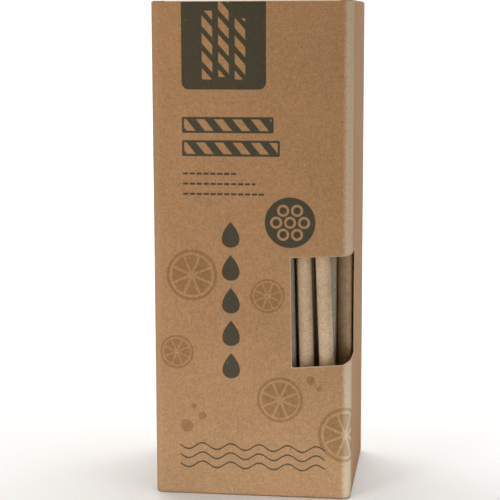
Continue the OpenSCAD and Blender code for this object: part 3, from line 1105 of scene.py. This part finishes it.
def fibre_colour(sheet, fibre, base, cloud_share, grain_share):
    """The board's colour with its clouds, grain and flecks."""
    colour = sheet.shaded(base, fibre_shade(sheet, fibre, cloud_share, grain_share))
    colour = sheet.mix(sheet.mul(fibre["Light Fleck"], LIGHT_FLECK_SHOW), colour, FLECK_LIGHT)
    return sheet.mix(sheet.mul(fibre["Dark Fleck"], DARK_FLECK_SHOW), colour, FLECK_DARK)


def finish_surface(sheet, shader, colour, height, roughness, bump):
    sheet.feed(shader.inputs["Base Color"], colour)
    sheet.feed(shader.inputs["Roughness"], roughness)
    shader.inputs["Specular IOR Level"].default_value = SPECULAR
    relief = sheet.node("ShaderNodeBump")
    relief.inputs["Strength"].default_value = bump
    relief.inputs["Distance"].default_value = RELIEF
    sheet.feed(relief.inputs["Height"], height)
    sheet.feed(shader.inputs["Normal"], relief.outputs["Normal"])


def crease_wear_and_highlight(sheet, place):
    """How far each place lies on a rounded upright crease, made pale by wear and a painted highlight: most
    on the lit one with the window.
    """
    x, y, _ = sheet.split(place)
    fray = sheet.swing(sheet.noise(place, *FRAY_NOISE), FRAY)
    across = sheet.ramp(sheet.add(sheet.size(x), fray), *WEAR_AND_HIGHLIGHT_ACROSS)
    along = sheet.ramp(sheet.size(y), *WEAR_AND_HIGHLIGHT_ALONG)
    # Strongest on the right-hand crease, where the light falls: a painted highlight as well as wear.
    handled_and_lit = sheet.ramp(sheet.sub(x, sheet.mul(y, HANDLED_AND_LIT_LEAN)), *HANDLED_AND_LIT, HANDLED_AND_LIT_LEAST, 1.0)
    return sheet.mul(sheet.mul(across, along), handled_and_lit)


def nose_highlight_mask(sheet, place):
    """The fold at the front of the lid, made pale as a painted highlight where the overhead light catches
    it.
    """
    _, y, z = sheet.split(place)
    ahead = sheet.ramp(y, (TUCK_Y + FOLD_R) / MM + NOSE_LIFT, TUCK_Y / MM + NOSE_LIFT)
    return sheet.mul(ahead, sheet.ramp(z, (TOP - 2 * FOLD_R) / MM, (TOP - FOLD_R) / MM))


def bent_line(sheet, x, points):
    """The height of a window edge, which bends upwards at its middle point."""
    sides = []
    for (x0, z0), (x1, z1) in zip(points, points[1:]):
        slope = (z1 - z0) / (x1 - x0)
        sides.append(sheet.add(sheet.mul(x, slope), (z0 - slope * x0) / MM))
    return sheet.top(*sides)


def rim_burr_and_highlight_mask(sheet, place):
    """The pale line beside the window's edge: partly the burr that the die leaves, partly a painted
    highlight of the lit cut edge.
    """
    x, y, z = sheet.split(place)
    lean = WINDOW_LEAN / (WINDOW_HIGH - WINDOW_LOW)
    left = sheet.sub((WINDOW_LEFT + lean * WINDOW_LOW) / MM, sheet.mul(z, lean))
    beyond = sheet.top(sheet.top(sheet.sub(bent_line(sheet, x, LOW_EDGE), z),
                                 sheet.sub(z, bent_line(sheet, x, HIGH_EDGE))),
                       sheet.top(sheet.sub(left, x), sheet.sub(y, WINDOW_BACK / MM)))
    return sheet.ramp(beyond, *WINDOW_RIM)


# Pale places, partly wear and partly painted highlight: the mask, the least share of pale board, what the
# patches add, and the pale colour
PRINTED_WEAR_AND_HIGHLIGHTS = ((crease_wear_and_highlight, 0.65, 0.25, KRAFT_WORN_AND_LIT), (rim_burr_and_highlight_mask, 0.3, 1.0, KRAFT_EDGE))
# The lid's nose: a painted highlight of the overhead light on the fold.
PLAIN_WEAR_AND_HIGHLIGHTS = ((nose_highlight_mask, 0.65, 0.25, KRAFT_WORN_AND_LIT),)


def paint_wear_and_highlights(sheet, place, colour, wear_and_highlights):
    """Makes the board pale in patches where the masks say: wear, and painted highlights."""
    patches = sheet.ramp(sheet.noise(place, *PATCH_NOISE), *PATCH_EDGE)
    for mask, least, patchy, pale in wear_and_highlights:
        share = sheet.mul(mask(sheet, place), sheet.add(sheet.mul(patches, patchy), least))
        colour = sheet.mix(share, colour, pale)
    return colour


def print_over(sheet, place, fibre, print_tree, colour, roughness):
    """Lays the tint and the dark ink over the board, and gives the new colour and roughness."""
    marks = sheet.use(print_tree, Place=place)
    colour = sheet.mix(marks["Tint"], colour, sheet.mix(1.0, colour, TINT, "MULTIPLY"))
    cover = sheet.math("SUBTRACT", 1.0, sheet.mul(fibre["Light Fleck"], INK_FLECK_SHOW), clamp=True)
    dark = sheet.shaded(INK, fibre_shade(sheet, fibre, *INK_FIBRE))
    colour = sheet.mix(sheet.mul(marks["Ink"], cover), colour, dark)
    return colour, sheet.sub(roughness, sheet.mul(marks["Ink"], INK_SMOOTH))


def board_material(name, fibre_group, base, wear_and_highlights=(), print_tree=None):
    """Kraft board, made pale in places by wear and painted highlights, and printed where it has a print."""
    material, sheet, shader = new_material(name)
    place = in_millimetres(sheet)
    fibre = sheet.use(fibre_group, Place=place)
    colour = fibre_colour(sheet, fibre, base, *BOARD_FIBRE)
    roughness = sheet.add(BOARD_ROUGH, sheet.mul(fibre["Grain"], GRAIN_ROUGH))
    if wear_and_highlights:
        colour = paint_wear_and_highlights(sheet, place, colour, wear_and_highlights)
    if print_tree:
        colour, roughness = print_over(sheet, place, fibre, print_tree, colour, roughness)
    finish_surface(sheet, shader, colour, fibre["Height"], roughness, BOARD_BUMP)
    return material


def straw_material(fibre_group):
    """Spirally wound kraft paper, with the line where the turns meet."""
    material, sheet, shader = new_material("straw_paper")
    place = in_millimetres(sheet)
    fibre = sheet.use(fibre_group, Place=place)
    tone_and_shade = sheet.node("ShaderNodeAttribute", attribute_name="straw_tone_and_shade").outputs["Fac"]
    # Painted shade: the straws in shade behind the window turn greyer or browner.
    paper_with_shade = sheet.mix(sheet.ramp(tone_and_shade, -1.0, PAINTED_GREY_SHADE), STRAW_PAPER, STRAW_PAINTED_GREY_SHADE)
    paper_with_shade = sheet.mix(sheet.ramp(tone_and_shade, 1.0, PAINTED_BROWN_SHADE), paper_with_shade, STRAW_PAINTED_BROWN_SHADE)
    colour = fibre_colour(sheet, fibre, paper_with_shade, *STRAW_FIBRE)
    # The same value shifts each straw's lightness a little, and by more for the straws with painted shade.
    colour = sheet.shaded(colour, sheet.add(1.0, sheet.mul(tone_and_shade, TONE_AND_SHADE_SHOW)))
    around, along, _ = sheet.split(sheet.node("ShaderNodeUVMap", uv_map="straw").outputs["UV"])
    run = sheet.math("FRACT", sheet.sub(sheet.mul(along, STRAW_TURNS), around))
    seam = sheet.ramp(sheet.size(sheet.sub(run, 0.5)), *STRAW_SEAM)
    colour = sheet.mix(sheet.mul(seam, STRAW_SEAM_SHOW), colour, STRAW_SEAM_DARK)
    end = sheet.ramp(sheet.size(sheet.sub(along, 0.5)), *STRAW_END)
    colour = sheet.mix(sheet.mul(end, STRAW_END_SHOW), colour, STRAW_RIM)
    height = sheet.sub(fibre["Height"], sheet.mul(seam, STRAW_SEAM_DEPTH))
    roughness = sheet.add(STRAW_ROUGH, sheet.mul(fibre["Grain"], GRAIN_ROUGH))
    finish_surface(sheet, shader, colour, height, roughness, STRAW_BUMP)
    return material


def edge_material(fibre_group):
    """The cut edge of the board: paler, with torn layers."""
    material, sheet, shader = new_material("kraft_cut_edge")
    place = sheet.mapping(in_millimetres(sheet), (EDGE_FINENESS, EDGE_FINENESS, EDGE_FINENESS))
    fibre = sheet.use(fibre_group, Place=place)
    colour = fibre_colour(sheet, fibre, KRAFT_EDGE, *EDGE_FIBRE)
    finish_surface(sheet, shader, colour, fibre["Height"], EDGE_ROUGH, EDGE_BUMP)
    return material


def sweep_material():
    """The pale paper that the carton stands on."""
    material, _, shader = new_material("pale_paper")
    shader.inputs["Base Color"].default_value = (*SWEEP_PAPER, 1)
    shader.inputs["Roughness"].default_value = SWEEP_ROUGH
    return material


# The studio

CAMERA_PLACE = Vector((79.6, -627.9, 194.4)) * MM
CAMERA_YAW = math.radians(7.73)
CAMERA_DROP = math.radians(8.74)
CAMERA_ROLL = math.radians(0.17)
CAMERA_LENS = 107.85
CAMERA_SENSOR = 36
SWEEP_HALF_W = 8
SWEEP_FRONT = -6
SWEEP_BACK = 1.5
SWEEP_R = 0.6
SWEEP_RISE = 2.5
SWEEP_STEPS = 16
SWEEP_PAPER = (0.86, 0.86, 0.85)
SWEEP_ROUGH = 0.9
SURROUND = 0.13
WHITE = (1, 1, 1)
WARM = (1.03, 0.95, 0.87)
COOL = (0.8, 1.05, 1.3)

# Lights: name, place, aim, width and height, power, colour
LIGHTS = (("left_panel", (-0.10, -0.22, 0.17), (-0.05, 0, 0.17), (0.06, 0.25), 0.19, WARM),
          ("overhead", (0, 0.15, 1.1), (0, 0.05, 0.2), (1.2, 1.0), 9, WHITE),
          ("backdrop", (0, 0.7, 1.4), (0, 1.9, 0.3), (2.4, 0.5), 38, WHITE),
          ("right_strip", (0.9, -0.5, 0.62), (0.04, -0.03, 0.1), (0.5, 0.5), 0.9, WHITE),
          ("floor_card", (0, -0.087, 0.0003), (0, -0.087, 1), (0.36, 0.10), 0.096, COOL),
          ("right_card", (0.07, -0.087, 0.0003), (0.07, -0.087, 1), (0.18, 0.10), 0.015, WHITE))


def set_camera():
    data = bpy.data.cameras.new("camera")
    data.lens = CAMERA_LENS
    data.sensor_width = CAMERA_SENSOR
    camera = bpy.data.objects.new("camera", data)
    camera.matrix_world = (Matrix.Translation(CAMERA_PLACE) @ Matrix.Rotation(CAMERA_YAW, 4, "Z")
                           @ Matrix.Rotation(-CAMERA_DROP, 4, "X") @ Matrix.Rotation(CAMERA_ROLL, 4, "Y")
                           @ Matrix.Rotation(QUARTER, 4, "X"))
    bpy.context.scene.collection.objects.link(camera)
    bpy.context.scene.camera = camera


def add_light(name, place, aim, size, power, colour):
    data = bpy.data.lights.new(name, "AREA")
    data.shape = "RECTANGLE"
    data.size, data.size_y = size
    data.energy = power
    data.color = colour
    light = bpy.data.objects.new(name, data)
    light.visible_camera = False
    towards = Vector(aim) - Vector(place)
    light.matrix_world = Matrix.Translation(place) @ towards.to_track_quat("-Z", "Y").to_matrix().to_4x4()
    bpy.context.scene.collection.objects.link(light)


def set_studio():
    """A pale sweep, a pale surround and large soft lights."""
    bm = bmesh.new()
    ends = [bm.verts.new((x, SWEEP_FRONT, 0)) for x in (-SWEEP_HALF_W, SWEEP_HALF_W)]
    edges = extend(bm, [bm.edges.new(ends)], (0, SWEEP_BACK - SWEEP_FRONT, 0))
    edges = fold_over(bm, edges, (0, SWEEP_BACK, SWEEP_R), (1, 0, 0), SWEEP_STEPS)
    extend(bm, edges, (0, 0, SWEEP_RISE))
    face_outwards(bm, Vector((0, -1, 1)))
    sweep = add_object("sweep", bm, [sweep_material()])
    world = bpy.data.worlds.new("surround")
    bpy.context.scene.world = world
    world.use_nodes = True
    shader = world.node_tree.nodes["Background"]
    shader.inputs["Color"].default_value = (*WHITE, 1)
    shader.inputs["Strength"].default_value = SURROUND
    for light in LIGHTS:
        add_light(*light)
    bpy.context.scene.view_settings.view_transform = "Standard"


def build():
    set_camera()
    set_studio()
    fibre = kraft_fibre_group()
    printed = board_material("kraft_printed", fibre, KRAFT, PRINTED_WEAR_AND_HIGHLIGHTS, print_group(wheel_group()))
    inside = board_material("kraft_inside", fibre, KRAFT_INSIDE)
    outside = board_material("kraft_plain", fibre, KRAFT, PLAIN_WEAR_AND_HIGHLIGHTS)
    edge = edge_material(fibre)
    build_carton([printed, inside, edge])
    build_lid([outside, inside, edge])
    build_lid_crease([outside, inside, edge])
    build_tuck_flap([outside, inside, edge])
    build_tuck_crease([outside, inside, edge])
    build_all_straws(straw_material(fibre))


build()
